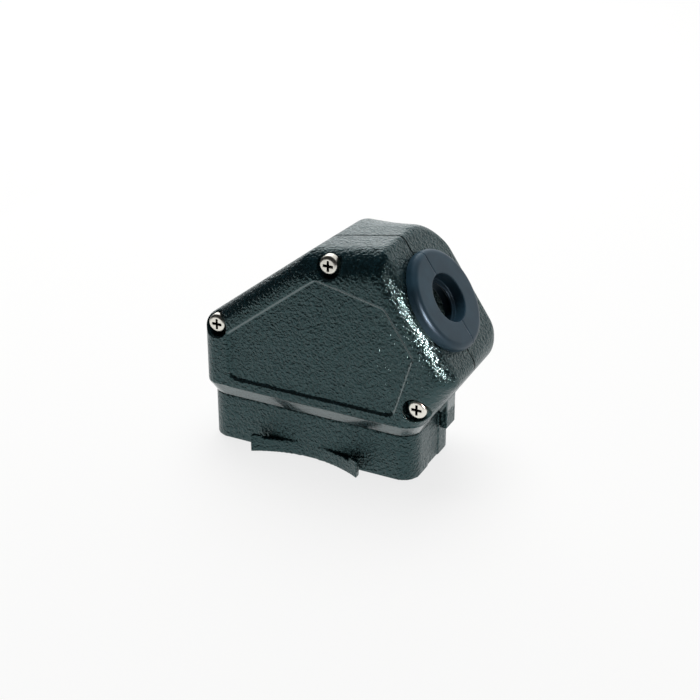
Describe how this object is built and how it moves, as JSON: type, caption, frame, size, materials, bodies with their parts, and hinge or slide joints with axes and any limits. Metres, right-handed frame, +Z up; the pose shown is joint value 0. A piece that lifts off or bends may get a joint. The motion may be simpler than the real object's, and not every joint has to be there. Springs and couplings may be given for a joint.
{
  "type": "angled connector hood",
  "caption": "Angled split hood for a rectangular industrial connector: cast half shells over a lower frame with locking bows, closed by pan-head screws around a split rubber cable grommet.",
  "frame": {"origin": "centre of the frame's mouth, on its lower edge", "axes": "+X along the frame towards the end the cable leaves from, +Y to the rear shell, +Z up through the frame into the hood; the shells meet on the plane Y = 0"},
  "size_m": [0.112, 0.0552, 0.0979],
  "materials": {
    "cast_paint": "die-cast light metal with a black textured powder coat",
    "nickel_steel": "nickel-plated steel",
    "grommet_rubber": "smooth matt moulded rubber",
    "seal_rubber": "black sealing rubber"
  },
  "bodies": {
    "root": {"frame": "cast_paint", "frame_seal": "seal_rubber", "front_shell": "cast_paint", "rear_shell": "cast_paint", "seam_seal": "seal_rubber", "grommet_front": "grommet_rubber", "grommet_rear": "grommet_rubber", "screw_left": "nickel_steel", "screw_top": "nickel_steel", "screw_right": "nickel_steel"}
  },
  "joints": []
}
